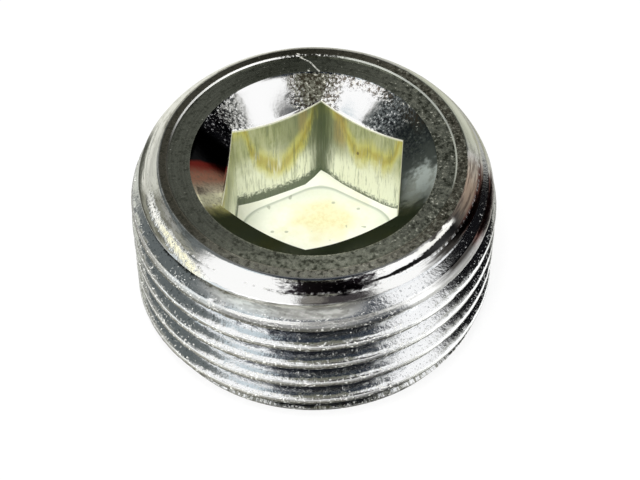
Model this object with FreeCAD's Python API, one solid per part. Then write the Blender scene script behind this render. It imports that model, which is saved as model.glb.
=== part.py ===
"""Headless threaded plug with a hexagon socket: one solid, turned, threaded and broached.

Millimetres, +Z up. The origin is the centre of the flat bottom end and the plug's
axis is the Z axis. The thread is right-handed and runs out over the rounded shoulder.
"""
import FreeCAD, Part
import math
import os

# Body
plug_length = 8.5
end_face_diameter = 16.0
lead_chamfer_height = 0.9

# Thread
crest_diameter = 17.0
thread_pitch = 1.337
thread_depth = 0.80
flank_angle = 55.0
root_flat = 0.17
top_crest_below_top = 0.52

# Rounded shoulder and raised rim
shoulder_height = 2.85
rim_blend_radius = 0.25
rim_outer_diameter = 14.02
rim_width = 0.30
rim_height = 0.15

# Countersink
countersink_diameter = 11.26
countersink_angle = 100.0

# Hexagon socket and the bevel round its floor
hex_across_flats = 8.0
hex_depth = 6.59
hex_draft = 0.35
hex_turn = -4.5
floor_bevel_width = 0.30
floor_bevel_rise = 0.26
floor_corner_radius = 2.2

# How far the cutting shapes reach past the faces that they open
tool_overrun = 0.5
crest_overcut = 0.10

Z_AXIS = FreeCAD.Vector(0, 0, 1)
ORIGIN = FreeCAD.Vector(0, 0, 0)
HEX_SIDES = 6
HEX_HALF_CORNER = math.radians(30)


def at(radius, height):
    """A point of a profile in the XZ plane."""
    return FreeCAD.Vector(radius, 0, height)


def path(points):
    """The straight edges that join the points in turn."""
    return [Part.LineSegment(start, end).toShape() for start, end in zip(points, points[1:])]


def arc(centre, radius, start_turn, end_turn):
    """An arc in the XZ plane between two turns above the horizontal."""
    turns = [start_turn, (start_turn + end_turn) / 2, end_turn]
    points = [centre + at(radius * math.cos(turn), radius * math.sin(turn)) for turn in turns]
    return Part.Arc(*points).toShape()


def shoulder_arcs(wall_radius, rim_radius):
    """Two tangent arcs: a wide one that leaves the upright wall, a tight one that ends level at the rim."""
    width = wall_radius - rim_radius
    span = width**2 + shoulder_height**2 - 2 * shoulder_height * rim_blend_radius
    wide_radius = span / (2 * (width - rim_blend_radius))
    wide_centre = at(wall_radius - wide_radius, plug_length - shoulder_height)
    tight_centre = at(rim_radius, plug_length - rim_blend_radius)
    between = tight_centre - wide_centre
    joint_turn = math.atan2(between.z, between.x)
    return [
        arc(wide_centre, wide_radius, 0, joint_turn),
        arc(tight_centre, rim_blend_radius, joint_turn, math.pi / 2),
    ]


def turned(edges):
    """The solid that a closed profile makes when it turns round the axis."""
    return Part.Face(Part.Wire(edges)).revolve(ORIGIN, Z_AXIS, 360)


def blank():
    """The plug before threading: flat end, lead chamfer, wall, shoulder, rim and top face."""
    crest_radius = crest_diameter / 2
    rim_radius = rim_outer_diameter / 2
    face_height = plug_length - rim_height
    side = path([
        at(0, 0),
        at(end_face_diameter / 2, 0),
        at(crest_radius, lead_chamfer_height),
        at(crest_radius, plug_length - shoulder_height),
    ])
    shoulder = shoulder_arcs(crest_radius, rim_radius)
    top = path([
        at(rim_radius, plug_length),
        at(rim_radius - rim_width, plug_length),
        at(rim_radius - rim_width, face_height),
        at(0, face_height),
        at(0, 0),
    ])
    return turned(side + shoulder + top)


def thread_groove():
    """The groove between the crests, swept up a right-handed helix past both ends of the plug."""
    root_radius = crest_diameter / 2 - thread_depth
    mouth_radius = crest_diameter / 2 + crest_overcut
    outer_radius = mouth_radius + tool_overrun
    root_half = root_flat / 2
    flank_slope = math.tan(math.radians(flank_angle / 2))
    mouth_half = root_half + (mouth_radius - root_radius) * flank_slope
    top_root = plug_length - top_crest_below_top - thread_pitch / 2
    turns_below = math.ceil(top_root / thread_pitch) + 1
    turns_above = math.ceil((plug_length - top_root) / thread_pitch) + 1
    helix_height = (turns_below + turns_above) * thread_pitch
    helix = Part.makeLongHelix(thread_pitch, helix_height, root_radius)
    section = Part.Wire(path([
        at(root_radius, -root_half),
        at(mouth_radius, -mouth_half),
        at(outer_radius, -mouth_half),
        at(outer_radius, mouth_half),
        at(mouth_radius, mouth_half),
        at(root_radius, root_half),
        at(root_radius, -root_half),
    ]))
    groove = Part.Wire(helix.Edges).makePipeShell([section], True, True)
    groove.rotate(ORIGIN, Z_AXIS, -90)
    groove.translate(Z_AXIS * (top_root - turns_below * thread_pitch))
    return groove


def hex_corners(across_flats, height):
    """The six corners of a hexagon round the axis."""
    reach = across_flats / 2 / math.cos(HEX_HALF_CORNER)
    turns = [math.radians(90 + hex_turn + 360 / HEX_SIDES * side) for side in range(HEX_SIDES)]
    return [FreeCAD.Vector(reach * math.cos(turn), reach * math.sin(turn), height) for turn in turns]


def hexagon(across_flats, height):
    """A closed hexagon with sharp corners."""
    corners = hex_corners(across_flats, height)
    return Part.Wire(path(corners + corners[:1]))


def rounded_hexagon(across_flats, height):
    """A closed hexagon with rounded corners."""
    corners = hex_corners(across_flats, height)
    trim = floor_corner_radius * math.tan(HEX_HALF_CORNER)
    set_back = floor_corner_radius / math.cos(HEX_HALF_CORNER) - floor_corner_radius
    edges = []
    for side in range(HEX_SIDES):
        corner = corners[side]
        to_last = (corners[side - 1] - corner).normalize()
        to_next = (corners[(side + 1) % HEX_SIDES] - corner).normalize()
        middle = corner + (to_last + to_next).normalize() * set_back
        arc_end = corner + to_next * trim
        edges.append(Part.Arc(corner + to_last * trim, middle, arc_end).toShape())
        edges += path([arc_end, corners[(side + 1) % HEX_SIDES] - to_next * trim])
    return Part.Wire(edges)


def hex_socket():
    """The broached hexagon, a little wider at its mouth, with a bevel round its floor."""
    floor_height = plug_length - hex_depth
    reach = hex_depth + tool_overrun
    mouth_flats = hex_across_flats + 2 * reach * math.tan(math.radians(hex_draft))
    mouth = hexagon(mouth_flats, floor_height + reach)
    walls = Part.makeLoft([hexagon(hex_across_flats, floor_height), mouth], True, True)
    floor_flats = hex_across_flats - 2 * floor_bevel_width
    nose_flats = floor_flats + 2 * reach * floor_bevel_width / floor_bevel_rise
    nose_mouth = rounded_hexagon(nose_flats, floor_height + reach)
    nose = Part.makeLoft([rounded_hexagon(floor_flats, floor_height), nose_mouth], True, True)
    return walls.common(nose)


def countersink():
    """The cone that leads into the socket from the top face."""
    mouth_radius = countersink_diameter / 2
    face_height = plug_length - rim_height
    tip_height = face_height - mouth_radius / math.tan(math.radians(countersink_angle / 2))
    return turned(path([
        at(0, tip_height),
        at(mouth_radius, face_height),
        at(mouth_radius, plug_length + tool_overrun),
        at(0, plug_length + tool_overrun),
        at(0, tip_height),
    ]))


os.makedirs("parts", exist_ok=True)
plug = blank().cut(thread_groove()).cut(countersink()).cut(hex_socket())
plug.exportStep("parts/drain_plug.step")
print("drain plug:", plug.isValid(), len(plug.Solids), "solid", round(plug.Volume, 2), "mm3")
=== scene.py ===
# %% [markdown]
# # A threaded drain plug in bright zinc plate
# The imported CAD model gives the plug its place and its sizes. This script dresses it: it
# makes one closed skin with the worn thread, the scored shoulder and the broached socket,
# and gives every zone of that skin its own finish. Bump alone could carry the wear, but
# it would leave the outline too clean, so the deeper wear is in the mesh. The model is
# loaded first and stays where it is, and the skin is built in the same frame, in metres.

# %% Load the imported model
import math

import bpy
import numpy as np
from mathutils import Matrix, Vector, noise


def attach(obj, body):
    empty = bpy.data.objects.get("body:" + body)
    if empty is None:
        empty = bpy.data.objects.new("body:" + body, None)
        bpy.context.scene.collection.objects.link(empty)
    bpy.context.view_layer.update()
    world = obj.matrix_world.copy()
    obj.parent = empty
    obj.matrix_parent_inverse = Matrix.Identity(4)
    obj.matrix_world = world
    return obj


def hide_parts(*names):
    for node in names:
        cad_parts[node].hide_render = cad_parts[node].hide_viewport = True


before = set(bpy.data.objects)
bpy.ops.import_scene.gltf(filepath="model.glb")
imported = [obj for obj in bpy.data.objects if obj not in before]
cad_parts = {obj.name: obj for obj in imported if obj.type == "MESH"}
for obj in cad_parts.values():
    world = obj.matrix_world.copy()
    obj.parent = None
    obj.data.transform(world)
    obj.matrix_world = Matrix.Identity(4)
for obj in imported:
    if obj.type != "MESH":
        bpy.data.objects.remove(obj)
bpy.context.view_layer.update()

# %% [markdown]
# ## The sizes
# The skin follows the same turned profile, helix and hexagon as the CAD part, so the sizes
# are repeated here in millimetres. The thread is a 55 degree pipe thread of 19 turns to
# the inch, and its crests climb to the right round the plug.

# %% Sizes of the plug
MM = 0.001
LENGTH, END_RADIUS, LEAD_CHAMFER = 8.5, 8.0, 0.9
CREST_RADIUS, PITCH, THREAD_DEPTH, ROOT_FLAT, HALF_FLANK = 8.5, 1.337, 0.80, 0.17, 27.5
TOP_CREST = LENGTH - 0.52
SHOULDER, BLEND, RIM_RADIUS = 2.85, 0.25, 7.01
FACE_HEIGHT = LENGTH - 0.15
SINK_RADIUS, SINK_HALF_ANGLE = 5.63, 50.0
HEX_APOTHEM, HEX_DRAFT, FLOOR_HEIGHT = 3.86, 1.3, LENGTH - 6.50
FLOOR_APOTHEM, FLOOR_CORNER, FLOOR_SLOPE = 3.64, 1.7, 0.08
HEX_TURN = -4.5

COLUMNS = 480
SEAM = 90 + HEX_TURN
TURN = SEAM - 360 + 360 * np.arange(COLUMNS + 1) / COLUMNS
RADIANS = np.radians(TURN)
print("columns round the plug:", COLUMNS, "seam at", SEAM, "degrees")

# %% [markdown]
# ## The turned profile
# Before it was threaded the plug was a turned blank: a lead chamfer at the bottom, an
# upright wall, and a shoulder of two arcs that meet without a corner. A function that
# gives the blank's radius at any height is all that the skin needs from it.

# %% Radius of the turned blank
SHOULDER_WIDTH = CREST_RADIUS - RIM_RADIUS
WIDE_RADIUS = (SHOULDER_WIDTH**2 + SHOULDER**2 - 2 * SHOULDER * BLEND) / (2 * (SHOULDER_WIDTH - BLEND))
WIDE_CENTRE = (CREST_RADIUS - WIDE_RADIUS, LENGTH - SHOULDER)
BLEND_CENTRE = (RIM_RADIUS, LENGTH - BLEND)
JOINT = math.atan2(BLEND_CENTRE[1] - WIDE_CENTRE[1], BLEND_CENTRE[0] - WIDE_CENTRE[0])
JOINT_HEIGHT = WIDE_CENTRE[1] + WIDE_RADIUS * math.sin(JOINT)


def blank_radius(z):
    """The blank's radius at the heights z, in mm."""
    z = np.asarray(z, float)
    chamfer = END_RADIUS + (CREST_RADIUS - END_RADIUS) * z / LEAD_CHAMFER
    wide = WIDE_CENTRE[0] + np.sqrt(np.maximum(WIDE_RADIUS**2 - (z - WIDE_CENTRE[1]) ** 2, 0))
    tight = BLEND_CENTRE[0] + np.sqrt(np.maximum(BLEND**2 - (z - BLEND_CENTRE[1]) ** 2, 0))
    radius = np.where(z < LEAD_CHAMFER, chamfer, CREST_RADIUS)
    radius = np.where(z > WIDE_CENTRE[1], wide, radius)
    return np.where(z > JOINT_HEIGHT, tight, radius)


print("the shoulder's arcs meet at height", round(JOINT_HEIGHT, 3))

# %% [markdown]
# ## The thread as rows that climb
# A thread is a shape that climbs as it goes round. Fixed level rings would cut across its
# crests and leave them jagged, so the rows of the skin climb with the helix: after one
# turn each row meets the row one pitch higher. Every pitch has the same rows, the root,
# a flank, a rounded crest edge, the crest, and down again. Near the shoulder and at the
# lead chamfer the crest rows follow the blank, so the thread runs out by itself. Each
# row also keeps how near it is to a crest, to a root and to the underside of a crest, for
# the finishes to read.

# %% Rows of the thread
ROOT_RADIUS = CREST_RADIUS - THREAD_DEPTH
FLANK_SLOPE = math.tan(math.radians(HALF_FLANK))
LONGEST_FLANK, HALVINGS = 0.7, 40
HELIX_TOP = 8.05
THIN = 0.1
SWELL, SWELL_RADIUS, SWELL_SPAN = 0.13, 8.3, 0.3
EDGE, LARGEST_EDGE_SHARE = 0.09, 0.3
CORNER_CUT, CORNER_TURN = 0.28, math.radians((90 - HALF_FLANK) / 2)
FLANK_STEPS = ((0.5, 0), (0.72, 0.2), (0.94, 0.5))
CREST_STEPS = (0.0, 0.17, 0.34, 0.5, 0.66, 0.83, 1.0)
CORNER_CREST, UNDER_FADE = 0.9, 0.6


def groove_height(turn_index):
    """The height of a groove's middle at every column."""
    return TOP_CREST - PITCH / 2 + PITCH * (turn_index + (TURN + 90) / 360)


def mouth(root_height, side):
    """Where a flank that leaves the root meets the blank: side is 1 upwards, -1 downwards."""
    low, high = np.zeros_like(root_height), np.full_like(root_height, LONGEST_FLANK)
    for _ in range(HALVINGS):
        middle = (low + high) / 2
        short = ROOT_RADIUS + middle / FLANK_SLOPE < blank_radius(root_height + side * middle)
        low, high = np.where(short, middle, low), np.where(short, high, middle)
    reach = np.where(blank_radius(root_height) > ROOT_RADIUS, low, 0.0)
    if side > 0:
        on_crown = np.clip((SWELL_RADIUS - blank_radius(root_height + reach)) / SWELL_SPAN, 0, 1)
        reach = reach + SWELL * on_crown * np.clip(reach / THIN, 0, 1)
    return root_height + side * reach


def thread_rows(turn_index):
    """The rows from one root to the next: height, radius, and the crest, depth and under shares."""
    half_root = ROOT_FLAT / 2
    root_low, root_high = groove_height(turn_index) - half_root, groove_height(turn_index) + half_root
    next_root = groove_height(turn_index + 1) - half_root
    lower_edge = mouth(root_high, 1)
    upper_edge = np.maximum(np.minimum(mouth(next_root, -1), HELIX_TOP), lower_edge)
    low_radius, high_radius, next_radius = [
        np.minimum(ROOT_RADIUS, blank_radius(z)) for z in (root_low, root_high, next_root)
    ]
    inset = np.minimum(EDGE, (upper_edge - lower_edge) * LARGEST_EDGE_SHARE)

    def flank(start, start_radius, end, share, crest, under):
        height = start + (end - start) * share
        radius = start_radius + (blank_radius(end) - start_radius) * share
        return height, radius, crest, 1 - share, under

    def corner(edge, root, side):
        cut = np.clip(np.abs(edge - root) / THIN, 0, 1) * CORNER_CUT * inset
        height = edge + side * math.sin(CORNER_TURN) * cut
        radius = blank_radius(edge) - math.cos(CORNER_TURN) * cut
        return height, radius, CORNER_CREST, 0, max(side, 0)

    rows = [(root_low, low_radius, 0, 1, 0), (root_high, high_radius, 0, 1, 1)]
    rows += [flank(root_high, high_radius, lower_edge, share, crest, 1) for share, crest in FLANK_STEPS]
    rows.append(corner(lower_edge, root_high, 1))
    for step in CREST_STEPS:
        height = lower_edge + inset + (upper_edge - lower_edge - 2 * inset) * step
        rows.append((height, blank_radius(height), 1, 0, max(0.0, 1 - step / UNDER_FADE)))
    rows.append(corner(upper_edge, next_root, -1))
    downwards = FLANK_STEPS[::-1]
    rows += [flank(next_root, next_radius, upper_edge, share, crest, 0) for share, crest in downwards]
    return rows


def threaded_radius(z):
    """The threaded surface's radius where a level z cuts it, at every column."""
    offset = np.abs((z - groove_height(0) + PITCH / 2) % PITCH - PITCH / 2)
    return np.minimum(blank_radius(z), ROOT_RADIUS + np.maximum(offset - ROOT_FLAT / 2, 0) / FLANK_SLOPE)


climbing = [row for turn_index in range(-6, 2) for row in thread_rows(turn_index)]
print("climbing rows:", len(climbing))

# %% [markdown]
# ## Wear on the thread
# The crests of the real plug are nicked and uneven. The nicks are too deep for a bump
# alone, so they move the skin itself, by up to a tenth of a millimetre. The noise reads
# the point in space, so both sides of the seam get the same value. A nick has a turn in
# degrees, a ridge counted down from the top one, a length in degrees and a depth in mm.

# %% Nicks and noise
NICKS = [
    (-49, 0, 3.2, 0.16), (-57, 0, 1.2, 0.07), (-101, 1, 1.5, 0.05), (-120, 1, 2.0, 0.06),
    (-74, 2, 1.6, 0.07), (-40, 2, 1.5, 0.07), (-63, 3, 1.8, 0.08), (-96, 3, 1.4, 0.06),
    (-131, 3, 2.2, 0.07), (-84, 4, 1.5, 0.06), (20, 2, 2.0, 0.08), (75, 3, 2.5, 0.08),
    (120, 2, 2.0, 0.07), (165, 4, 2.2, 0.08), (-170, 3, 1.6, 0.06),
]
NICK_DROP, NICK_BAND = 0.2, 0.22
UNEVENNESS = ((2.6, 0.6), (7.0, 0.4))
EVEN_WEAR, ROUGH_WEAR, WEAR_START = 0.012, 0.055, 0.12
CROWN_SPARED = 0.75
CROWN_SHIVER, THREAD_SHIVER = 0.02, 0.03


def ring(radius, height, shift=(0.0, 0.0)):
    """One ring as x, y and z at every column."""
    radius = np.broadcast_to(np.asarray(radius, float), TURN.shape)
    height = np.broadcast_to(np.asarray(height, float), TURN.shape)
    return radius * np.cos(RADIANS) + shift[0], radius * np.sin(RADIANS) + shift[1], height


def spatial_noise(points, scale):
    """Perlin noise at each point, the scale in features per mm."""
    return np.array([noise.noise(Vector(point)) for point in np.stack(points, 1) * scale])


def worn(radius, level, inside, crown, crest):
    """A crest row after wear: rubbed all along, nicked in places and uneven at its edges."""
    points = ring(radius, level)
    rough = sum(share * spatial_noise(points, scale) for scale, share in UNEVENNESS)
    wear = EVEN_WEAR + ROUGH_WEAR * np.clip(rough - WEAR_START, 0, 1)
    for turn, ridge, length, depth in NICKS:
        away = ((TURN + 180) % 360 - 180 - turn) / length
        above = (level - (TOP_CREST - ridge * PITCH + PITCH * (turn + 90) / 360 - NICK_DROP)) / NICK_BAND
        wear = wear + depth * np.exp(-(away**2)) * np.exp(-(above**2)) * (0.7 + 0.6 * rough)
    radius = radius - np.where(inside, wear * (1 - CROWN_SPARED * crown), 0.0)
    shiver = (CROWN_SHIVER + THREAD_SHIVER * (1 - crown)) * rough * (crest < 1)
    return ring(radius, np.clip(level + np.where(inside, shiver, 0.0), 0.0, HELIX_TOP))


print("nicks:", len(NICKS))

# %% [markdown]
# ## Level rings: end face, rim, turned face and countersink
# Where nothing climbs, the rows are level rings. The step inside the rim is turned a
# little off the plug's centre, which is why the dark rim band is wider on the right. Two
# rings close together keep an edge crisp, where a bevel would need its own operator.

# %% Rings of the outside
rows, zones, crest_share, depth_share, under_share, crown_share = [], [], [], [], [], []


def add_row(points, zone, crest=0.0, depth=0.0, under=0.0, crown=0.0):
    """Keep one row of points with the zone of the faces above it and its shares."""
    rows.append(points)
    zones.append(zone)
    kept_values = ((crest_share, crest), (depth_share, depth), (under_share, under), (crown_share, crown))
    for kept, value in kept_values:
        kept.append(np.broadcast_to(np.asarray(value, float), TURN.shape))


END_DISH, END_RIM = 0.02, 0.93
end_ring = threaded_radius(0.0)
for share in (0.0, 0.2, 0.4, 0.6, 0.8, END_RIM, 0.985):
    add_row(ring(end_ring * share, END_DISH * max(0.0, 1 - share / END_RIM)), "end_face")

WORN_CREST = 0.4
CROWN_FLOOR, CROWN_START, CROWN_SPAN = 4.0, 0.05, 0.25
for height, radius, crest, depth, under in climbing:
    level = np.clip(height, 0.0, HELIX_TOP)
    radius = np.where(height > HELIX_TOP, blank_radius(HELIX_TOP), radius)
    radius = np.where(height < 0, end_ring, radius)
    crown = np.clip((CREST_RADIUS - CROWN_START - blank_radius(level)) / CROWN_SPAN, 0, 1)
    crown = crown * (level > CROWN_FLOOR) * (crest > WORN_CREST)
    points = ring(radius, level)
    if crest > WORN_CREST:
        points = worn(radius, level, (height > 0) & (height < HELIX_TOP), crown, crest)
    add_row(points, "outside", crest, depth, under, crown)

add_row(ring(blank_radius(HELIX_TOP), HELIX_TOP), "outside", crest=1, crown=1)
WIDE_ROWS, CROWN_ROWS = 5, 13
for step in range(1, CROWN_ROWS + 1):
    if step <= WIDE_ROWS:
        height = HELIX_TOP + (JOINT_HEIGHT - HELIX_TOP) * step / WIDE_ROWS
        radius = float(blank_radius(height))
    else:
        outward = JOINT + (math.pi / 2 - JOINT) * (step - WIDE_ROWS) / (CROWN_ROWS - WIDE_ROWS)
        radius = BLEND_CENTRE[0] + BLEND * math.cos(outward)
        height = BLEND_CENTRE[1] + BLEND * math.sin(outward)
    zone = "outside" if step < CROWN_ROWS else "rim"
    add_row(ring(radius, min(height, LENGTH)), zone, crest=1, crown=1)
print("rows up to the rim:", len(rows))

# %% Rim, step and turned face
CENTRED, STEP_SHIFT = (0.0, 0.0), (-0.08, 0.05)
STEP_RADIUS, SLOPE = 6.62, 0.065
STEP_FOOT = STEP_RADIUS - SLOPE
for radius, height, shift, zone in (
    (RIM_RADIUS - 0.12, LENGTH - 0.004, CENTRED, "rim"),
    (STEP_RADIUS + 0.12, LENGTH - 0.006, STEP_SHIFT, "rim"),
    (STEP_RADIUS + 0.012, LENGTH - 0.008, STEP_SHIFT, "rim"),
    (STEP_RADIUS, LENGTH - 0.014, STEP_SHIFT, "step"),
    (STEP_FOOT, LENGTH - 0.014 - SLOPE, STEP_SHIFT, "face"),
    (STEP_FOOT - 0.006, FACE_HEIGHT + 0.006, STEP_SHIFT, "face"),
    (STEP_FOOT - 0.015, FACE_HEIGHT, STEP_SHIFT, "face"),
):
    add_row(ring(radius, height, shift), zone)
FACE_EDGE = 0.09
for share in (0.12, 0.3, 0.5, 0.7, 0.88):
    shift = (STEP_SHIFT[0] * (1 - share), STEP_SHIFT[1] * (1 - share))
    outer, inner = STEP_RADIUS - FACE_EDGE, SINK_RADIUS
    add_row(ring(outer + (inner - outer) * share, FACE_HEIGHT, shift), "face")
add_row(ring(SINK_RADIUS + 0.012, FACE_HEIGHT - 0.001), "face")
add_row(ring(SINK_RADIUS, FACE_HEIGHT - 0.008), "sink")
print("rows up to the countersink:", len(rows))

# %% [markdown]
# ## The hexagon socket
# The countersink is a cone, and the hexagon cuts it in six arcs that sag between the
# corners. A boolean cut would leave slivers there, so the rows find the cut themselves:
# at each column the distance to the nearest flat gives both the cone's edge and the wall.
# The tool left the floor askew and pushed the metal up at the foot of the walls, most in
# the corners, so the foot follows a list of turns and heights, and a bevel runs from it
# to the floor.

# %% Countersink, walls and floor
from_flat = np.radians((TURN - SEAM) % 60 - 30)
HALF_CORNER = math.radians(30)
HEX_TAN = math.tan(math.radians(HEX_DRAFT))
FOOT = [
    (25.5, 2.72), (29, 2.57), (36, 2.47), (49, 2.44), (60, 2.45), (70, 2.49), (76, 2.58), (80.5, 2.69),
    (85.5, 2.72), (90, 2.38), (96, 2.08), (106, 2.06), (120, 2.07), (132, 2.11), (139, 2.18),
    (145.5, 2.30), (155, 2.15), (176, 2.10), (196, 2.15), (205.5, 2.35), (216, 2.20), (256, 2.20),
    (265.5, 2.42), (276, 2.25), (316, 2.35), (325.5, 2.55), (336, 2.42), (376, 2.50), (385.5, 2.72),
]


def wall_radius(z):
    """The radius of the hexagon's wall at a height, at every column."""
    return (HEX_APOTHEM + HEX_TAN * (z - FLOOR_HEIGHT)) / np.cos(from_flat)


def floor_height(points):
    """The askew floor's height at points given as x, y and z."""
    return FLOOR_HEIGHT + FLOOR_SLOPE * points[0]


FOOT_START = FOOT[0][0]
foot_height = np.interp((TURN - FOOT_START) % 360 + FOOT_START, *zip(*FOOT))
SINK_RUN = math.tan(math.radians(SINK_HALF_ANGLE))
edge_height = np.full_like(TURN, 7.0)
for _ in range(20):
    edge_height = FACE_HEIGHT - (SINK_RADIUS - wall_radius(edge_height)) / SINK_RUN
LIP = 0.16
lip = LIP * (1 - (from_flat / HALF_CORNER) ** 2)
edge_height = edge_height + lip
edge_radius = wall_radius(edge_height)
for share in (0.02, 0.1, 0.25, 0.42, 0.6, 0.78, 0.92, 0.975):
    radius = SINK_RADIUS + (edge_radius - SINK_RADIUS) * share
    add_row(ring(radius, FACE_HEIGHT - (SINK_RADIUS - radius) / SINK_RUN + lip * share**2), "sink")
add_row(ring(edge_radius + 0.012, edge_height - 0.010), "sink", crest=1)
for share in (0.006, 0.03, 0.1, 0.2, 0.3, 0.4, 0.5, 0.6, 0.7, 0.8, 0.9, 0.97):
    height = edge_height + (foot_height - edge_height) * share
    add_row(ring(wall_radius(height), height), "wall", crest=float(share < 0.01))

flat_edge = FLOOR_APOTHEM / np.cos(from_flat)
middle = (FLOOR_APOTHEM - FLOOR_CORNER) / math.cos(HALF_CORNER)
from_corner = HALF_CORNER - np.abs(from_flat)
round_edge = middle * np.cos(from_corner) + np.sqrt(FLOOR_CORNER**2 - (middle * np.sin(from_corner)) ** 2)
straight = (FLOOR_APOTHEM - FLOOR_CORNER) * math.tan(HALF_CORNER)
on_flat = np.abs(FLOOR_APOTHEM * np.tan(from_flat)) <= straight
floor_ring = np.where(on_flat, flat_edge, round_edge)
for share in (0.02, 0.35, 0.65, 0.85, 1.0):
    radius = wall_radius(foot_height) * (1 - share) + floor_ring * share
    x, y, z = ring(radius, foot_height)
    z = foot_height * (1 - share) + floor_height((x, y, z)) * share
    add_row((x, y, z), "bevel" if share < 1 else "floor", crest=float(share == 1))
for share in (0.96, 0.9, 0.75, 0.6, 0.45, 0.3, 0.15, 0.0):
    x, y, z = ring(floor_ring * share, 0.0)
    add_row((x, y, floor_height((x, y, z))), "floor")
print("all rows:", len(rows))

# %% [markdown]
# ## Roll the sheet up
# A flat grid is the easiest sheet to give a shape: it has as many faces across as the
# plug has columns, and one row of vertices for each row above. Each vertex moves to its
# place on the plug. The seam and the two middles then close by merging the vertices that
# fell on each other.

# %% Make the skin
bpy.ops.object.select_all(action="DESELECT")
bpy.ops.mesh.primitive_grid_add(x_subdivisions=COLUMNS, y_subdivisions=len(rows) - 1, size=2)
plug = bpy.context.object
plug.name = "threaded_plug"
plug.data.name = "threaded_plug"
sheet = np.empty(len(plug.data.vertices) * 3, np.float32)
plug.data.vertices.foreach_get("co", sheet)
sheet = sheet.reshape(-1, 3)
column = np.rint((sheet[:, 0] + 1) / 2 * COLUMNS).astype(int)
row = np.rint((sheet[:, 1] + 1) / 2 * (len(rows) - 1)).astype(int)
grid = np.array([np.stack(points, 1) for points in rows]) * MM
corner_first = np.empty(len(plug.data.polygons), np.int32)
plug.data.polygons.foreach_get("loop_start", corner_first)
loop_vertex = np.empty(len(plug.data.loops), np.int32)
plug.data.loops.foreach_get("vertex_index", loop_vertex)
face_row = np.min([row[loop_vertex[corner_first + step]] for step in range(4)], axis=0)
plug.data.vertices.foreach_set("co", grid[row, column].astype(np.float32).ravel())
SHARES = {"crest": crest_share, "depth": depth_share, "under": under_share, "crown": crown_share}
for name, shares in SHARES.items():
    values = np.array(shares)[row, column].astype(np.float32)
    plug.data.attributes.new(name, "FLOAT", "POINT").data.foreach_set("value", values)

FINISH_OF_ZONE = {"end_face": 0, "outside": 1, "rim": 2, "face": 3, "sink": 4, "wall": 5}
FINISH_OF_ZONE.update({"bevel": 6, "floor": 6, "step": 7})
face_finish = np.array([FINISH_OF_ZONE[zone] for zone in zones])[face_row].astype(np.int32)
print("sheet:", len(plug.data.vertices), "vertices,", len(plug.data.polygons), "faces")

# %% [markdown]
# ## The finishes as shader sums
# A worn metal is a few masks laid over each other: specks, stains, turning marks. Written
# as sums, such masks are easy to read, so one small class lets Python's own signs add
# Math nodes. A second class adds any other node from its type, settings and values.

# %% Shader helpers
class Amount:
    """A number that a node gives. Signs between amounts add Math nodes."""

    def __init__(self, desk, socket):
        self.desk, self.socket = desk, socket

    def math(self, operation, *values):
        return self.desk.node("ShaderNodeMath", {"operation": operation}, dict(enumerate(values)))

    def __add__(self, other):
        return self.math("ADD", self, other)

    def __sub__(self, other):
        return self.math("SUBTRACT", self, other)

    def __rsub__(self, other):
        return self.math("SUBTRACT", other, self)

    def __mul__(self, other):
        return self.math("MULTIPLY", self, other)

    def __truediv__(self, other):
        return self.math("DIVIDE", self, other)

    __radd__, __rmul__ = __add__, __mul__

    def absolute(self):
        return self.math("ABSOLUTE", self)

    def least(self, other):
        return self.math("MINIMUM", self, other)

    def most(self, other):
        return self.math("MAXIMUM", self, other)


class Desk:
    """A node tree in the making."""

    def __init__(self, tree):
        self.tree = tree
        self.tree.nodes.clear()

    def node(self, kind, settings=None, values=None, out=0):
        made = self.tree.nodes.new(kind)
        for key, value in (settings or {}).items():
            if key == "stops":
                self.set_stops(made.color_ramp, value)
            else:
                setattr(made, key, value)
        for key, value in (values or {}).items():
            if isinstance(value, Amount):
                self.tree.links.new(value.socket, made.inputs[key])
            else:
                made.inputs[key].default_value = value
        return Amount(self, made.outputs[out]) if len(made.outputs) else made

    @staticmethod
    def set_stops(ramp, stops):
        while len(ramp.elements) < len(stops):
            ramp.elements.new(1.0)
        for element, (position, colour) in zip(ramp.elements, stops):
            element.position = position
            element.color = (*colour, 1) if isinstance(colour, tuple) else (colour, colour, colour, 1)

    def step(self, amount, start, end):
        """0 below start, 1 above end, and a smooth rise between. It falls where end is under start."""
        low, high, first, last = (start, end, 0.0, 1.0) if start < end else (end, start, 1.0, 0.0)
        values = {0: amount, 1: low, 2: high, 3: first, 4: last}
        return self.node("ShaderNodeMapRange", {"interpolation_type": "SMOOTHSTEP"}, values)

    def attribute(self, name):
        """One of the shares that the skin keeps at its vertices."""
        return self.node("ShaderNodeAttribute", {"attribute_name": name}, out=2)

    def blend(self, share, first, second):
        """The first colour where share is 0, the second where it is 1."""
        pair = [(*colour, 1) if isinstance(colour, tuple) else colour for colour in (first, second)]
        return self.node("ShaderNodeMix", {"data_type": "RGBA"}, {0: share, 6: pair[0], 7: pair[1]}, out=2)

    def paint(self, colour, *layers):
        """The colour with each layer, a share and a tone, laid over it in turn."""
        for share, tone in layers:
            colour = self.blend(share, colour, tone)
        return colour

    def combine(self, x, y, z):
        return self.node("ShaderNodeCombineXYZ", None, {0: x, 1: y, 2: z})

    def split(self, vector):
        parts = self.node("ShaderNodeSeparateXYZ", None, {0: vector})
        outputs = parts.socket.node.outputs
        return [Amount(self, outputs[index]) for index in range(3)]

    def length(self, vector):
        return self.node("ShaderNodeVectorMath", {"operation": "LENGTH"}, {0: vector}, out=1)

    def noise(self, where, scale, detail=2.0, rough=0.5):
        values = {"Vector": where, "Scale": scale, "Detail": detail, "Roughness": rough}
        return self.node("ShaderNodeTexNoise", None, values)


print("shader helpers ready")

# %% [markdown]
# ## What every finish shares
# All the finishes read the plug's own coordinates, turned into millimetres, and the
# radius and the turn round the axis that follow from them. Each ends in one Principled
# shader, with the bump last.

# %% Start and end of a finish
DEGREES = 180 / math.pi


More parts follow.
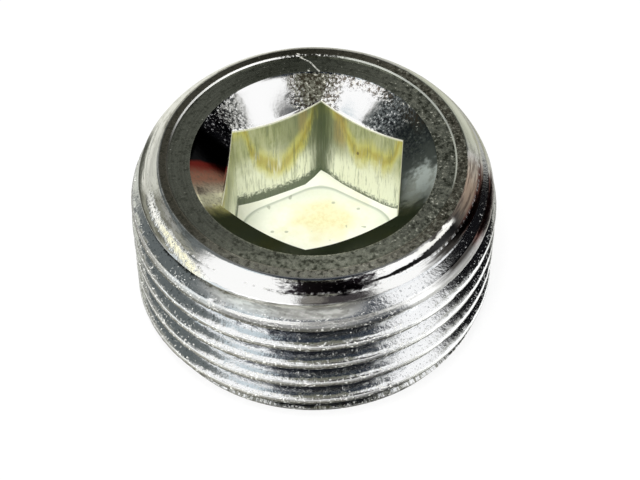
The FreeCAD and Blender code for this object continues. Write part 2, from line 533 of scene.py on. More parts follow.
def start_finish(name):
    """A new material's desk, with the point in mm, its parts, its radius and its turn in degrees."""
    material = bpy.data.materials.new(name)
    material.use_nodes = True
    desk = Desk(material.node_tree)
    where = desk.node("ShaderNodeTexCoord", out=3)
    where = desk.node("ShaderNodeVectorMath", {"operation": "SCALE"}, {0: where, 3: 1000.0})
    x, y, z = desk.split(where)
    radius = desk.length(desk.combine(x, y, 0.0))
    turn = y.math("ARCTAN2", y, x) * DEGREES
    return material, desk, where, (x, y, z), radius, turn


def end_finish(desk, colour, metal, rough, height, film=None):
    """The Principled shader, a bump whose height is in mm, and a matt film as (share, colour)."""
    normal = desk.node("ShaderNodeBump", None, {"Strength": 1.0, "Distance": MM, "Height": height})
    values = {"Base Color": colour, "Metallic": metal, "Roughness": rough, "Normal": normal}
    shader = desk.node("ShaderNodeBsdfPrincipled", None, values)
    if film is not None:
        matt = desk.node("ShaderNodeBsdfDiffuse", None, {"Color": (*film[1], 1)})
        shader = desk.node("ShaderNodeMixShader", None, {0: film[0], 1: shader, 2: matt})
    desk.node("ShaderNodeOutputMaterial", None, {"Surface": shader})


print("finish frame ready")

# %% [markdown]
# ## Thread and shoulder
# Zinc plate is bright but grainy. Each finish is built up from masks. The flanks carry
# fine upright streaks and bright grains. The crests are rubbed duller: dark grey at the
# left and the front, and pale on the right, where the paleness is a painted reflection.
# A thin painted highlight runs along the upper edge of each crest, and a thin line of
# painted shade along its lower edge. Painted shade darkens the grooves up to the underside
# of each crest, with a ragged edge, and the undersides in a band down the middle.

# %% Masks of the thread
outside, desk, where, (x, y, z), radius, turn = start_finish("plated_thread")
crest, depth, under, crown = [desk.attribute(name) for name in ("crest", "depth", "under", "crown")]
around = desk.combine(x / radius * CREST_RADIUS, y / radius * CREST_RADIUS, (z + radius) * 0.35)
streaks = desk.noise(around, 8.0, 3.0, 0.6)
grain = desk.noise(where, 7.0, 2.0, 0.6)
flakes = desk.noise(desk.combine(x / radius * 6.0, y / radius * 6.0, z * 5.0), 1.6, 3.0, 0.65)
patches = desk.noise(around, 1.2, 3.0, 0.6)
ridge = desk.step(crest, 0.52, 0.85)

specks = desk.noise(where, 9.0, 3.0, 0.65) + 0.24 * (patches - 0.5) + 0.09 * desk.step(crest, 0.05, 0.4)
specks = desk.step(specks, 0.67, 0.72) * (1 - crown) * (1 - 0.6 * desk.step(x, 4.5, 6.5))
upper = desk.step(z, 6.8, 7.6)
# painted shade: the grooves darken towards the root, broken by grain and streaks
painted_groove_shade = desk.step(depth + 0.30 * (grain - 0.5) + 0.2 * (streaks - 0.5) - 0.7 * upper, 0.66, 0.80)
foot_dirt = desk.step(z, 1.1, 0.5) * desk.step(streaks + 0.3 * (grain - 0.5), 0.46, 0.56)

# painted highlight: a thin pale line along the upper edge of each crest, less metallic
glint = desk.step(crest, 0.72, 0.88) * desk.step(crest, 1.0, 0.95)
glint = glint * desk.step(under, 0.3, 0.0) * (1 - crown)
dull_crest = ridge * (1 - crown) * (1 - glint)
worn_front = desk.step((x + 1.4).absolute() + 1.5 * (flakes - 0.5), 4.2, 2.6) * desk.step(y, 0.0, -3.0)
worn_flank = desk.step(z, 6.7, 7.1) * (1 - crown) * (1 - ridge) * worn_front
# painted shade: the lower flanks under each crest, near black in a band down the middle
shaded = under * desk.step(crest, 0.8, 0.5) * desk.step((x - 0.4).absolute(), 2.9, 2.1)
# painted shade: a thin dark line along the lower edge of each crest
below = desk.step(under + 0.25 * (streaks - 0.5), 0.25, 0.6) * desk.step(crest, 0.6, 0.85) * (1 - crown)
print("thread masks ready")

# %% [markdown]
# ## Marks on the shoulder
# A rough burr crosses the left of the shoulder and a score runs round its right, just
# under the rim. The score's black is painted shadow in its groove, and the lip over it is
# white with a painted highlight. A ramp gives the burr's radius at each turn, and the
# marks are soft bands round such paths.

# %% Burr and score
def clipped(amount):
    """The amount held between 0 and 1."""
    return amount.most(0.0).least(1.0)


def curve(points, start, span, low, rise):
    """The value that a list of turns and values gives at each turn."""
    stops = [((at - start) / span, (value - low) / rise) for at, value in points]
    ramp = desk.node("ShaderNodeValToRGB", {"stops": stops}, {0: (turn - start) / span})
    return ramp * rise + low


BURR = [(-166, 7.62), (-159, 7.66), (-147, 7.67), (-141, 7.73), (-134, 7.83), (-128, 7.98)]
BURR += [(-122, 8.04), (-117, 8.04)]
path = curve(BURR, start=-166, span=49, low=7.5, rise=0.75)
burr = clipped(1.5 - (radius - path + 0.20 * (streaks - 0.5)).absolute() / (0.06 + 0.14 * patches))
burr = burr * desk.step(turn, -170.0, -160.0) * desk.step(turn, -122.0, -134.0) * crown
along = clipped((turn + 76) / 43)
inside = desk.step(turn, -77.0, -68.0) * desk.step(turn, -29.0, -33.0) * crown
score_radius = 7.38 + 0.16 * (flakes - 0.5) + 0.05 * (1 - along)
off_score = (radius - score_radius).absolute() - 0.11 * along + 0.16 * (grain - 0.5) * along
# painted shadow: the score's groove is near black
score = inside * desk.step(off_score, 0.035, 0.005)
# painted highlight: a white band along the lip over the score
off_lip = (radius - score_radius + 0.20).absolute() + 0.3 * (flakes - 0.5)
lip_highlight = inside * along * desk.step(off_lip, 0.13, 0.05)
flecks = desk.noise(desk.combine(x * 0.8, y * 0.8, radius * 3.2), 3.2, 3.0, 0.65)
# painted reflection: a near black patch on the front of the shoulder, broken by flecks
front_dark_reflection = desk.step((turn + 85).absolute() + 26 * (flecks - 0.5), 19.0, 11.0) * crown
front_dark_reflection = front_dark_reflection * desk.step((radius - 7.38).absolute() + 0.5 * (flecks - 0.5), 0.30, 0.16)
front_dark_reflection = front_dark_reflection * desk.step(grain, 0.74, 0.62)
print("burr and score ready")

# %% Colours of the thread and the shoulder
colour = desk.blend(desk.step(grain, 0.28, 0.42), (0.45, 0.47, 0.48), (0.94, 0.95, 0.96))
# crests dark grey at the left and front, and pale on the right as a painted reflection
rubbed_crest_and_reflection = desk.blend(desk.step(x, 0.8, 3.2), (0.30, 0.29, 0.25), (0.90, 0.91, 0.90))
rubbed_crest_and_reflection = desk.blend(desk.step(flakes, 0.42, 0.62) * 0.5, rubbed_crest_and_reflection, (0.70, 0.70, 0.66))
colour = desk.blend(ridge, colour, desk.blend(crown, rubbed_crest_and_reflection, (0.96, 0.96, 0.95)))
both_sides = desk.step(turn, -128.0, -142.0).most(desk.step(turn, -44.0, -30.0))
both_sides = both_sides * desk.step(turn.absolute(), 179.9, 160.0)
mottle = desk.step(flakes + 0.35 * (grain - 0.5), 0.50, 0.60) * both_sides * crown
colour = desk.blend(mottle * 0.55, colour, (0.36, 0.35, 0.30))
print("thread colours ready")

# %% [markdown]
# ## Painted reflection on the right of the shoulder
# On its right the shoulder is painted with a reflection: pale olive at the back and
# red-brown towards the front, dark red at its outer edge and nearly black further front,
# with a thin painted highlight line and dark and light threads that run round it.
# Stretching a noise along the turn draws such threads, and the same noise makes the
# edges of the painted reflection ragged.

# %% Painted reflection on the right of the shoulder, olive and brown
strands = desk.noise(desk.combine(x * 0.2, y * 0.2, radius * 4.0), 3.2, 3.0, 0.65)
lower = turn + 14 * (strands - 0.5) + 8 * (flakes - 0.5)
outer = radius + 0.25 * (strands - 0.5)
# painted reflection: pale olive at the back of the shoulder's right, greyer outside
painted_pale_reflection = crown * desk.step(turn, 0.0, 12.0) * desk.step(turn, 60.0, 40.0)
pale_reflection_tone = desk.blend(desk.step(outer, 7.50, 7.62), (0.93, 0.96, 0.84), (0.60, 0.60, 0.48))
colour = desk.blend(painted_pale_reflection, colour, pale_reflection_tone)
# painted reflection: red-brown towards the front, with dark threads and a dark red edge
brown = crown * desk.step(lower, 5.0, -4.0) * desk.step(lower, -54.0, -40.0)
red_reflection_tone = desk.blend(desk.step(lower, -4.0, -12.0), (0.42, 0.37, 0.30), (0.27, 0.20, 0.145))
red_reflection_tone = desk.paint(
    red_reflection_tone,
    (desk.step(lower, -14.0, -28.0), (0.10, 0.08, 0.06)),
    (desk.step(strands, 0.54, 0.40) * 0.7, (0.05, 0.028, 0.020)),
    (desk.step(outer, 7.44, 7.56), (0.13, 0.035, 0.024)),
)
# painted highlight: a thin pale line round the shoulder
painted_highlight_line = desk.step((outer - 7.72).absolute(), 0.06, 0.02) * desk.step(lower, -24.0, -12.0)
red_reflection_tone = desk.blend(painted_highlight_line * 0.7, red_reflection_tone, (0.34, 0.21, 0.17))
red_reflection_tone = desk.blend(desk.step(lower, -22.0, -32.0), red_reflection_tone, (0.022, 0.018, 0.014))
colour = desk.blend(brown * 0.97, colour, red_reflection_tone)
print("stain ready")

# %% Dirt, painted shade, painted highlight, marks and the finish
# painted highlight on the crest edges, painted shade in the grooves and under the crests
colour = desk.paint(
    colour,
    (glint, (0.92, 0.93, 0.92)),
    (painted_groove_shade, (0.05, 0.05, 0.035)),
    (shaded * 0.92, (0.022, 0.030, 0.045)),
    (below * 0.85, (0.07, 0.07, 0.045)),
)
bright = clipped(specks + burr * desk.step(grain, 0.34, 0.46) * 0.9 + lip_highlight * 0.8)
worn_tone = desk.blend(desk.step(flakes, 0.4, 0.6), (0.22, 0.21, 0.16), (0.72, 0.72, 0.64))
colour = desk.blend(worn_flank * 0.7, colour, worn_tone)
colour = desk.blend(foot_dirt * 0.75, colour, (0.10, 0.10, 0.05))
bright_tone = desk.blend(burr * desk.step(turn, -158.0, -148.0), (0.95, 0.95, 0.90), (0.90, 0.87, 0.62))
colour = desk.paint(
    colour,
    (bright, bright_tone),
    (front_dark_reflection, (0.022, 0.018, 0.022)),
    (score, (0.008, 0.008, 0.008)),
)
rough = 0.10 + 0.06 * grain + 0.15 * dull_crest + 0.2 * burr
height = grain * (0.0065 - 0.0040 * crown) + flakes * crown * 0.010 + specks * 0.006 + burr * grain * 0.12
dull = 0.45 * worn_flank + 0.8 * brown * desk.step(outer, 7.58, 7.46) + 0.75 * bright
dull = dull + 0.40 * glint + 0.5 * dull_crest * desk.step(x, 3.2, 0.8)
metal = 1 - clipped(dull)
end_finish(desk, colour, metal, rough, height)
print("finish:", outside.name)

# %% [markdown]
# ## Rim and turned face
# The face was turned with a fine tool, which left faint rings, and it is duller than the
# rest. It is mottled, browner at the front, and it has a dent with a long scratch at the
# back. The rim is the same surface, stained darker except at the front.

# %% Finish of the rim and the turned face
def scratch(desk, x, y, start, end, width):
    """A soft line on a level face between two points in mm."""
    run, rise = end[0] - start[0], end[1] - start[1]
    share = clipped(((x - start[0]) * run + (y - start[1]) * rise) / (run**2 + rise**2))
    gap = desk.combine(x - start[0] - share * run, y - start[1] - share * rise, 0.0)
    return desk.step(desk.length(gap), width, width * 0.4)


SCRATCHES = (
    ((-0.75, 6.70), (-0.16, 6.28)),
    ((-0.16, 6.28), (0.27, 5.68)),
    ((-0.24, 5.72), (-0.20, 5.70)),
)


def turned_finish(name, back, front, stain):
    """A turned finish: its colour at the back and at the front, and how brown the grain is."""
    material, desk, where, (x, y, z), radius, turn = start_finish(name)
    rings = desk.noise(desk.combine(radius, 0.0, 0.0), 6.0, 3.0, 0.65)
    grain = desk.noise(where, 8.0, 4.0, 0.65)
    mottle = desk.noise(where, 1.6, 3.0, 0.6)
    near = desk.step(y + 0.5 * x.absolute() - 2 * (mottle - 0.5), -1.0, -6.0)
    side = desk.step(x, -1.5, 4.5)
    specks = desk.noise(where, 8.0, 3.0, 0.6) + side * 0.05 + 0.15 * (mottle - 0.5)
    specks = desk.step(specks, 0.69, 0.78) * 0.8
    for start, end in SCRATCHES:
        specks = specks.most(scratch(desk, x, y, start, end, 0.055) * desk.step(grain, 0.35, 0.5))
    colour = desk.blend(near, back, front)
    colour = desk.blend(desk.step(grain, 0.35, 0.7) * (0.25 + 0.45 * side), colour, stain)
    colour = desk.blend(desk.step(rings, 0.52, 0.40) * 0.35, colour, (0.10, 0.10, 0.08))
    pits = desk.noise(where, 4.0, 4.0, 0.7)
    speckled = near.most(desk.step(x, 2.5, 5.0))
    colour = desk.paint(
        colour,
        (desk.step(pits, 0.50, 0.62) * speckled * 0.8, (0.60, 0.61, 0.50)),
        (desk.step(pits, 0.49, 0.38) * (0.45 + 0.4 * speckled), (0.05, 0.055, 0.035)),
        (specks * 0.8, (0.90, 0.89, 0.82)),
    )
    metal = 1 - 0.16 * near - 0.10 * side - 0.08 * desk.step(x, -2.0, -5.0) - 0.5 * specks
    height = grain * 0.004 + rings * 0.002 + specks * 0.015
    end_finish(desk, colour, metal, 0.22 + 0.10 * grain, height)
    return material


rim = turned_finish("turned_rim", (0.20, 0.19, 0.15), (0.50, 0.49, 0.42), (0.34, 0.31, 0.24))
face = turned_finish("turned_face", (0.32, 0.335, 0.28), (0.42, 0.44, 0.345), (0.34, 0.355, 0.28))
print("finishes:", rim.name, face.name)

# %% Finish of the step inside the rim
step_finish, desk, where, (x, y, z), radius, turn = start_finish("turned_step")
grain = desk.noise(where, 9.0, 3.0, 0.6)
# painted highlight: pale bands on the step at the back and the right, dark elsewhere
lit = desk.step(y, 0.5, 3.0) * desk.step(x.absolute() + 3 * (grain - 0.5), 0.6, 1.8)
lit = lit.most(desk.step(y, 0.5, 3.0) * desk.step(grain, 0.5, 0.6))
lit = lit.most(desk.step(x, 3.0, 4.5) * desk.step(y, -2.8, -1.0) * 0.8)
highlight_tone = desk.blend(desk.step(x, 0.0, 1.5), (0.93, 0.93, 0.90), (0.50, 0.52, 0.47))
colour = desk.blend(lit, (0.12, 0.12, 0.11), highlight_tone)
end_finish(desk, colour, 1 - 0.55 * lit, 0.2, grain * 0.004)
print("finish:", step_finish.name)

# %% [markdown]
# ## Countersink
# The tool chattered in the countersink, so its mirror is broken into fine grains at the
# left, the back and the right. Its front is darkened by painted shade, a matt dark film
# mixed over the metal. A painted reflection of red light, from black through red and
# pink to cream, shows at its left with a yellow stain below it. Its right is painted as a
# dark reflection, with a painted soft grey patch in it. A bump this fine would only blur
# the mirror, so the grains are dark and pale chips of colour.

# %% Masks of the countersink
sink, desk, where, (x, y, z), radius, turn = start_finish("plated_countersink")
edge = desk.attribute("crest")
grain = desk.noise(where, 6.0, 2.0, 0.5)
chips = desk.noise(where, 7.0, 4.0, 0.7)
patches = desk.noise(where, 1.5, 3.0, 0.6)
chatter = desk.noise(desk.combine(x / radius * 5, y / radius * 5, radius * 0.35), 4.5, 3.0, 0.6)
from_front = turn.math("PINGPONG", turn + 90.0 + 720.0, 180.0)
# painted shade: the front of the cone, covered by a matt dark film
painted_front_shade = desk.step(from_front + 10 * (patches - 0.5), 66.0, 53.0)


def chip_zone(middle, ragged, outside, inside):
    """The part of the cone near one turn, with a ragged edge, in degrees."""
    return desk.step((turn - middle).absolute() + ragged * (patches - 0.5), outside, inside)


left_chips = chip_zone(143, 24, 15.0, 6.0)
middle_chips = chip_zone(90, 20, 16.0, 10.0)
right_chips = chip_zone(33, 24, 25.0, 15.0)
outer_chips = desk.step(radius + 0.5 * (patches - 0.5), 5.05, 5.35) * chip_zone(52, 0, 34.0, 22.0)
warm_chips = middle_chips.most(outer_chips)
rough_zone = left_chips.most(warm_chips).most(right_chips)
dark_chips = desk.step(chips, 0.48, 0.55) * rough_zone
pale_chips = desk.step(chips, 0.42, 0.36) * rough_zone
print("countersink masks ready")

# %% Painted reflection of red light at the left of the countersink
whole_turn = turn.math("WRAP", turn, 360.0, 0.0)
down = whole_turn - 6 * (radius - 4) + 3 * (chatter - 0.5)
left_side = desk.step(whole_turn, 152.0, 160.0) * desk.step(whole_turn, 240.0, 225.0)
# painted reflection: black, dark red, pink and cream down the left, then a yellow stain
glow = (0.008, 0.008, 0.010)
for start, end, tone in (
    (169.0, 171.5, (0.22, 0.022, 0.016)),
    (172.0, 180.0, (0.42, 0.19, 0.13)),
    (181.0, 189.0, (0.49, 0.41, 0.31)),
    (189.0, 195.0, (0.88, 0.86, 0.58)),
):
    glow = desk.blend(desk.step(down, start, end), glow, tone)
glow = desk.blend(desk.step(down + 8 * (grain - 0.5), 198.0, 204.0), glow, (0.50, 0.46, 0.20))
spots = desk.step(chips, 0.50, 0.58) * desk.step(down, 172.0, 180.0) * 0.5
glow = desk.blend(spots, glow, (0.20, 0.16, 0.12))
print("glow ready")

# %% Finish of the countersink
# painted reflection: the right of the cone is dark, the rest near white
painted_dark_right = desk.step(turn, -60.0, -40.0) * desk.step(turn, 46.0, 28.0)
wavy = turn + 34 * (patches - 0.5) + 10 * (chatter - 0.5)
# painted reflection: a soft grey patch on the right of the cone
painted_grey_patch = desk.step(wavy, 6.0, -8.0) * desk.step(wavy, -30.0, -16.0) * desk.step(radius, 3.9, 4.7)
grey_patch_tone = desk.blend(desk.step(patches, 0.4, 0.6), (0.70, 0.77, 0.79), (0.48, 0.52, 0.51))
colour = desk.blend(painted_dark_right, (0.97, 0.97, 0.97), (0.10, 0.115, 0.11))
colour = desk.blend(painted_grey_patch, colour, grey_patch_tone)
colour = desk.blend(left_side, colour, glow)
chip_tone = desk.blend(warm_chips, (0.045, 0.055, 0.060), (0.15, 0.12, 0.085))
colour = desk.paint(
    colour,
    (dark_chips * 0.9, chip_tone),
    (pale_chips * warm_chips * 0.8, (0.72, 0.69, 0.58)),
    # painted highlight: a thin cream line along the top edge of the hexagon
    (edge, (0.92, 0.91, 0.78)),
)
dull = 0.4 * left_side * desk.step(down, 186.0, 194.0) + 0.5 * edge + 0.45 * pale_chips
metal = 1 - clipped(dull)
rough = 0.06 + 0.06 * grain + 0.22 * painted_dark_right
height = grain * (0.002 + 0.012 * rough_zone) + chatter * 0.002
end_finish(desk, colour, metal, rough, height, film=(painted_front_shade * 0.97, (0.012, 0.016, 0.008)))
print("finish:", sink.name)

# %% [markdown]
# ## Socket walls
# The broach drew fine upright lines down the walls. Yellow passivation ran down them and
# dried in sagging bands. The walls are olive above and cream below, and painted shade
# makes them dark green in the back corner, above and around it, and at their feet. A thin
# cream painted highlight runs along their top edge. A colour ramp makes a good curve for
# such a band: it takes the turn and gives the height at which the band hangs there.

# %% Masks of the walls
wall, desk, where, (x, y, z), radius, turn = start_finish("broached_wall")
edge = desk.attribute("crest")
lines = desk.noise(desk.combine(x, y, z * 0.05), 9.0, 4.0, 0.7)
broad = desk.noise(desk.combine(x, y, z * 0.12), 1.6, 3.0, 0.6)
fine = desk.noise(desk.combine(x, y, z * 0.10), 5.0, 4.0, 0.75)
cloud = desk.noise(where, 1.3, 3.0, 0.6)
grit = desk.noise(where, 7.0, 3.0, 0.7)
SAG = [
    (27, 7.3), (29.5, 6.4), (32, 5.8), (37, 5.35), (42, 5.45), (48, 5.55), (53, 5.3), (58, 5.15),
    (64, 5.65), (68.5, 6.3), (72, 7.2), (81, 7.8), (90, 7.2), (92, 6.3), (96, 5.5), (102, 4.8),
    (107, 4.3), (113, 4.1), (119, 4.15), (130, 4.85), (135.5, 5.8), (138, 7.2), (141, 7.8),
]
BACK_END = 145.5
sag = curve(SAG, start=20, span=130, low=0, rise=8.0)
foot = curve([point for point in FOOT if point[0] <= BACK_END], start=20, span=130, low=0, rise=4.0)
from_corner = (turn - SEAM).absolute()
off_sag = (z - sag + 0.8 * (cloud - 0.5)).absolute() + 0.5 * (fine - 0.5)
stain = desk.step(off_sag, 1.25, 0.25) * desk.step(broad + 0.3 * (fine - 0.5), 0.30, 0.46)
right_smear = desk.step((turn - 72).absolute() + 5 * (lines - 0.5), 6.5, 1.5) * desk.step(z, 4.6, 5.6)
left_smear = desk.step((turn - 97).absolute() + 6 * (lines - 0.5), 4.5, 1.0) * desk.step(z, 5.2, 6.2)
smear = right_smear.most(left_smear * 0.8)
# painted shade: dark green in the back corner, with ragged sides
corner = desk.step(from_corner + 14 * (lines - 0.5), 10.0, 1.5)
# painted shade: darker green spreading from the back corner over the upper walls
corner_shade_above = desk.step((turn - SEAM - 4).absolute() + 8 * (broad - 0.5), 34.0, 10.0)
corner_shade_above = corner_shade_above * desk.step(z, 3.8, 5.2)
rise = foot + 0.14 + 0.42 * desk.step(turn, 84.0, 92.0) + 0.55 * (lines - 0.5)
# painted shade: dark green along the foot of the walls, with a ragged top
painted_foot_shade = desk.step(z - rise + 1.1 * (grit - 0.5), 0.26, -0.16)
pale = desk.step(z + 1.8 * (cloud - 0.5) + 1.2 * (broad - 0.5), 6.1, 3.9)
print("wall masks ready")

# %% Finish of the socket walls
heart = desk.step(off_sag + 1.2 * (broad - 0.5), 0.6, 0.0)
stain_tone = desk.blend(heart, (0.66, 0.63, 0.16), (0.50, 0.41, 0.04))
pit = scratch(desk, turn * 0.08, z, (4.6, 5.18), (4.62, 5.10), 0.10)
colour = desk.blend(desk.step(broad, 0.3, 0.7), (0.33, 0.36, 0.17), (0.48, 0.51, 0.26))
colour = desk.paint(
    colour,
    (desk.step(fine, 0.40, 0.62) * 0.6, (0.62, 0.64, 0.40)),
    (pale, (0.93, 0.96, 0.79)),
    (corner_shade_above * 0.75, (0.17, 0.20, 0.10)),
    (stain * 0.85, stain_tone),
    (smear * 0.6, (0.46, 0.31, 0.09)),
    (desk.step(lines, 0.47, 0.36) * 0.45, (0.18, 0.21, 0.11)),
    (desk.step(fine, 0.46, 0.36) * 0.45, (0.16, 0.19, 0.10)),
    (corner * 0.92, (0.075, 0.10, 0.045)),
    (painted_foot_shade * 0.9, (0.05, 0.075, 0.035)),
    (pit * 0.8, (0.10, 0.07, 0.03)),
    # painted highlight: a thin cream line along the top edge of the walls
    (edge, (0.90, 0.90, 0.74)),
)
end_finish(desk, colour, 0.12, 0.36 + 0.1 * lines, lines * 0.03)
print("finish:", wall.name)

# %% [markdown]
# ## Socket floor and end face
# The floor is nearly white, with a yellow bloom towards the back and a few dark specks.
# Painted shade greys it near its edge, and a thin grey line of painted shade lies where the
# bevel meets it. It is almost dull, because a mirror this deep in the hole would only show
# the dark walls. The end face is hidden in the photo, so it is plain plate with faint
# turning rings.

# %% Finish of the socket floor
floor_finish, desk, where, (x, y, z), radius, turn = start_finish("pressed_floor")
edge = desk.attribute("crest")
grain = desk.noise(where, 5.0, 4.0, 0.6)
cloud = desk.noise(where, 1.0, 3.0)
from_bloom = desk.combine(x - 0.4, (y - 1.9) * 1.3, 0.0)
spread = desk.length(from_bloom)
bloom = desk.step(spread + (cloud - 0.5) * 3.0 + (grain - 0.5) * 1.2, 2.6, 0.3)
dots = desk.step(desk.noise(where, 3.0, 0.0), 0.80, 0.84)
for spot in ((0.93, 2.87), (2.14, 2.39), (-2.04, 1.23)):
    dots = dots.most(scratch(desk, x, y, spot, (spot[0] + 0.03, spot[1]), 0.10))
colour = desk.blend(grain, (0.78, 0.80, 0.70), (0.90, 0.90, 0.80))
bloom_tone = desk.blend(desk.step(grain, 0.4, 0.65), (0.76, 0.73, 0.44), (0.70, 0.61, 0.28))
colour = desk.blend(bloom * 0.8, colour, bloom_tone)
level = desk.step(z - FLOOR_SLOPE * x, FLOOR_HEIGHT + 0.06, FLOOR_HEIGHT + 0.01)
# painted shade: the floor greys near its edge
painted_floor_edge_shade = desk.step(radius + 0.5 * (cloud - 0.5), 2.5, 3.9) * level
colour = desk.paint(
    colour,
    (painted_floor_edge_shade * 0.42, (0.50, 0.55, 0.44)),
    # painted shade: a thin grey line where the bevel meets the floor
    (edge * 0.7, (0.30, 0.34, 0.28)),
    (dots * 0.6, (0.25, 0.27, 0.20)),
)
end_finish(desk, colour, 0.05, 0.4 + 0.1 * grain, grain * 0.02)
print("finish:", floor_finish.name)

# %% Finish of the end face
end_face, desk, where, (x, y, z), radius, turn = start_finish("plated_end_face")
rings = desk.noise(desk.combine(radius, 0.0, 0.0), 9.0, 3.0, 0.6)
grain = desk.noise(where, 8.0, 3.0)
colour = desk.blend(rings, (0.62, 0.64, 0.64), (0.78, 0.79, 0.78))
end_finish(desk, colour, 1.0, 0.28 + 0.1 * grain, rings * 0.006 + grain * 0.003)
print("finish:", end_face.name)

# %% [markdown]
# ## Close the skin
# The faces get their finishes while they are still in the grid's order. Then the merge
# closes the seam and both middles, and edges sharper than 32 degrees stay crisp.

# %% Assign finishes and merge
MERGE_WITHIN, SMOOTH_BELOW = 0.0002 * MM, math.radians(32)
for finish in (end_face, outside, rim, face, sink, wall, floor_finish, step_finish):
    plug.data.materials.append(finish)
plug.data.polygons.foreach_set("material_index", face_finish)
bpy.ops.object.mode_set(mode="EDIT")
bpy.ops.mesh.select_all(action="SELECT")
bpy.ops.mesh.remove_doubles(threshold=MERGE_WITHIN)
bpy.ops.mesh.dissolve_degenerate(threshold=MERGE_WITHIN)
bpy.ops.mesh.select_all(action="DESELECT")
bpy.ops.mesh.select_non_manifold()
bpy.ops.object.mode_set(mode="OBJECT")
open_edges = sum(edge.select for edge in plug.data.edges)
bpy.ops.object.shade_smooth_by_angle(angle=SMOOTH_BELOW)
triangles = sum(len(polygon.vertices) - 2 for polygon in plug.data.polygons)
print("skin:", triangles, "triangles, open edges:", open_edges)

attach(plug, "root")
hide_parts("drain_plug")

# %% [markdown]
# ## Camera
# The camera looks down at the plug at about fifty degrees, from a good way off, with a
# long lens, so the round top is a wide ellipse and the walls hardly narrow.

# %% Camera
FOCAL_PIXELS, DISTANCE, ELEVATION, ROLL = 2000.52, 97.437, 0.8738, 0.0039
ASIDE, ALOFT = 0.28458, 1.7147
SENSOR_WIDTH, PICTURE_WIDTH, NEAREST = 36, 640, 0.001
lens = bpy.data.cameras.new("camera")
lens.sensor_width = SENSOR_WIDTH
lens.lens = FOCAL_PIXELS * SENSOR_WIDTH / PICTURE_WIDTH
lens.clip_start = NEAREST
camera = bpy.data.objects.new("camera", lens)
bpy.context.scene.collection.objects.link(camera)
right = Vector((1, 0, 0))
up = Vector((0, math.sin(ELEVATION), math.cos(ELEVATION)))
back = Vector((0, -math.cos(ELEVATION), math.sin(ELEVATION)))
across = math.cos(ROLL) * right - math.sin(ROLL) * up
upright = math.sin(ROLL) * right + math.cos(ROLL) * up
place = Matrix((across, upright, back)).transposed().to_4x4()
place.translation = (ASIDE * right + ALOFT * up + DISTANCE * back) * MM
camera.matrix_world = place
bpy.context.scene.camera = camera
print("camera at", [round(value, 4) for value in camera.location])

# %% [markdown]
# ## Studio
# Bright metal shows its surroundings, so the studio is what makes it look like metal. The
# world is plain white to the camera and soft light to everything dull. Only mirrors see
# its cards: white boxes on the left and the right, the dark of the camera between them,
# a black flag at the right, and grey cards behind. Real cards would do the same, but
# painted on the world they are exact, cheap and never in the way of the camera.

# %% World
world = bpy.data.worlds.new("studio")
bpy.context.scene.world = world
world.use_nodes = True
desk = Desk(world.node_tree)
direction = desk.node("ShaderNodeTexCoord", out=0)
x, y, z = desk.split(direction)
bearing = x.math("ARCTAN2", x, y * -1.0) * DEGREES
height = z.math("ARCSINE", z) * DEGREES


def ray_kinds():
    """Whether light goes straight to the camera, and whether a mirror sees it."""
    outputs = desk.node("ShaderNodeLightPath").socket.node.outputs
    return Amount(desk, outputs["Is Camera Ray"]), Amount(desk, outputs["Is Glossy Ray"])


def sector(middle, half, soft):
    """The bearings within half of the middle one, with soft ends, in degrees."""
    away = bearing.math("WRAP", bearing - middle, 180.0, -180.0)
    return desk.step(away.absolute(), half + soft / 2, half - soft / 2)


def card(middle, half, low, high, soft):
    """A card's middle bearing, half width, lowest and highest angle and softness, in degrees."""
    above = desk.step(height, low - soft / 2, low + soft / 2)
    return sector(middle, half, soft) * (above * desk.step(height, high + soft / 2, high - soft / 2))


studio = desk.blend(desk.step(height, 50.0, 70.0), (0.36, 0.36, 0.34), (0.16, 0.16, 0.16))
for *edges, shade in (
    (-165, 22, -60, 30, 12, (0.40, 0.39, 0.33)),
    (-112, 18, -60, 16, 8, (0.22, 0.22, 0.18)),
    (-84, 10, -60, 24, 8, (0.29, 0.29, 0.24)),
    (-109, 34, 24, 66, 8, (0.12, 0.135, 0.135)),
    (-140, 13, -60, 10, 8, (0.30, 0.31, 0.27)),
    (-131, 14, -2, 22, 6, (0.62, 0.63, 0.56)),
    (180, 28, 32, 60, 10, (0.065, 0.070, 0.064)),
    (-39, 33, -60, 42, 8, (1.0, 1.0, 1.0)),
    (-39, 32, 34, 62, 6, (1.0, 1.0, 1.0)),
    (-62, 17, 58, 74, 6, (0.58, 0.66, 0.70)),
    (61, 26, -60, 46, 12, (1.0, 1.0, 1.0)),
    (56, 32, 44, 58, 6, (1.0, 1.0, 1.0)),
    (76, 19, 50, 74, 6, (1.0, 1.0, 1.0)),
    (84, 8, 30, 46, 10, (0.40, 0.40, 0.37)),
    (0, 180, 74, 95, 6, (0.03, 0.035, 0.045)),
    (5, 50, 62, 95, 6, (0.018, 0.026, 0.040)),
    (12, 21, -10, 47, 6, (0.045, 0.040, 0.042)),
    (-1, 6, 10, 50, 8, (0.19, 0.18, 0.16)),
    (-1, 23, 48, 66, 5, (0.17, 0.17, 0.13)),
    (112, 22, -60, 60, 10, (0.003, 0.003, 0.004)),
    (143, 25, -60, 18, 6, (0.46, 0.46, 0.42)),
):
    studio = desk.blend(card(*edges), studio, shade)
straight, mirrored = ray_kinds()
seen = desk.blend(mirrored, (0.45, 0.45, 0.45), studio)
seen = desk.blend(straight, seen, (1.0, 1.0, 1.0))
shader = desk.node("ShaderNodeBackground", None, {"Color": seen, "Strength": 1.0})
desk.node("ShaderNodeOutputWorld", None, {"Surface": shader})
print("world ready")

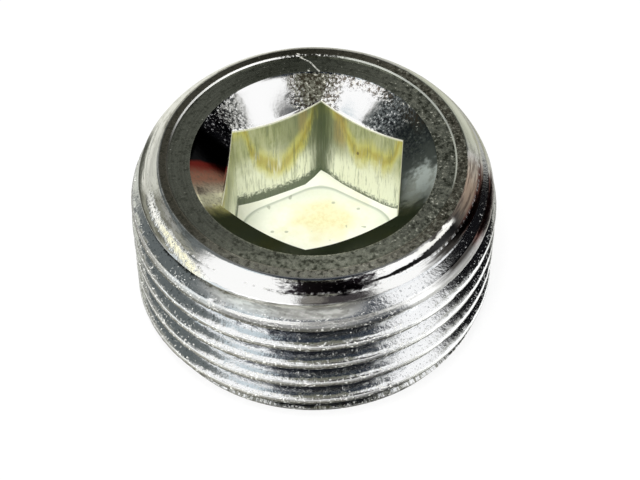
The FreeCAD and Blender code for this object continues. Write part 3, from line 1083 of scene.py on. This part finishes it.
# %% Lamps
def soft_lamp(name, at, size, watts):
    """A round lamp that points at the plug. Mirrors don't see it."""
    lamp = bpy.data.lights.new(name, "AREA")
    lamp.shape = "DISK"
    lamp.size = size
    lamp.energy = watts
    holder = bpy.data.objects.new(name, lamp)
    holder.location = at
    holder.rotation_euler = (-Vector(at)).to_track_quat("-Z", "Y").to_euler()
    holder.visible_glossy = False
    bpy.context.scene.collection.objects.link(holder)


soft_lamp("top_box", (-0.02, -0.03, 0.20), 0.08, 0.28)
soft_lamp("front_box", (-0.02, -0.12, 0.16), 0.08, 0.18)
print("lamps ready")

# %% [markdown]
# ## Table
# The plug stands on white paper. The camera sees it almost as white as the world, with a
# faint shadow. Mirrors see it in the tones of the studio above it, and darker close to
# the plug, where the plug shades it, so the lower flanks keep their depth.

# %% Table
TABLE_SIZE, TABLE_GAP = 1.2, 0.00001
WHITE_SHARE = 0.86
bpy.ops.object.select_all(action="DESELECT")
bpy.ops.mesh.primitive_plane_add(size=TABLE_SIZE, location=(0, 0, -TABLE_GAP))
table = bpy.context.object
table.name = "table"
material = bpy.data.materials.new("white_table")
material.use_nodes = True
desk = Desk(material.node_tree)
straight, mirrored = ray_kinds()
where = desk.node("ShaderNodeTexCoord", out=3)
x, y, z = desk.split(where)
reach = desk.length(where) * 1000.0
bearing = x.math("ARCTAN2", x, y * -1.0) * DEGREES
near, far = desk.step(reach, 17.0, 15.0), desk.step(reach, 28.0, 40.0)
beyond = 1 - near
shade = desk.paint(
    desk.blend(near, (0.30, 0.30, 0.28), (0.50, 0.50, 0.47)),
    (sector(-39, 32, 8) * far, (1.0, 1.0, 1.0)),
    (sector(-155, 22, 10), (0.60, 0.60, 0.54)),
    (sector(-113, 24, 10) * beyond, (0.06, 0.062, 0.05)),
    (sector(-113, 24, 10) * far, (0.22, 0.22, 0.18)),
    (sector(-131, 14, 6) * far, (0.62, 0.62, 0.56)),
    (sector(-84, 8, 6) * far, (0.29, 0.29, 0.24)),
    (sector(-100, 40, 10) * near, (0.34, 0.34, 0.32)),
    (sector(-62, 17, 6) * beyond, (0.50, 0.55, 0.58)),
    (sector(5, 48, 8) * beyond * (1 - far), (0.03, 0.035, 0.05)),
    (sector(8, 26, 12) * near, (0.08, 0.08, 0.08)),
    (sector(70, 26, 8), (0.90, 0.90, 0.90)),
    (sector(116, 22, 6) * beyond, (0.010, 0.009, 0.010)),
    (sector(143, 22, 8) * beyond, (0.46, 0.46, 0.42)),
    (sector(165, 16, 8), (0.42, 0.42, 0.37)),
)
paper = desk.blend(mirrored, (0.93, 0.93, 0.92), shade)
paper = desk.node("ShaderNodeBsdfDiffuse", None, {"Color": paper})
glow = desk.node("ShaderNodeEmission", None, {"Color": (1, 1, 1, 1), "Strength": 1.0})
mixed = desk.node("ShaderNodeMixShader", None, {0: straight * WHITE_SHARE, 1: paper, 2: glow})
desk.node("ShaderNodeOutputMaterial", None, {"Surface": mixed})
table.data.materials.append(material)
bpy.context.scene.view_settings.view_transform = "Standard"
print("stage ready")
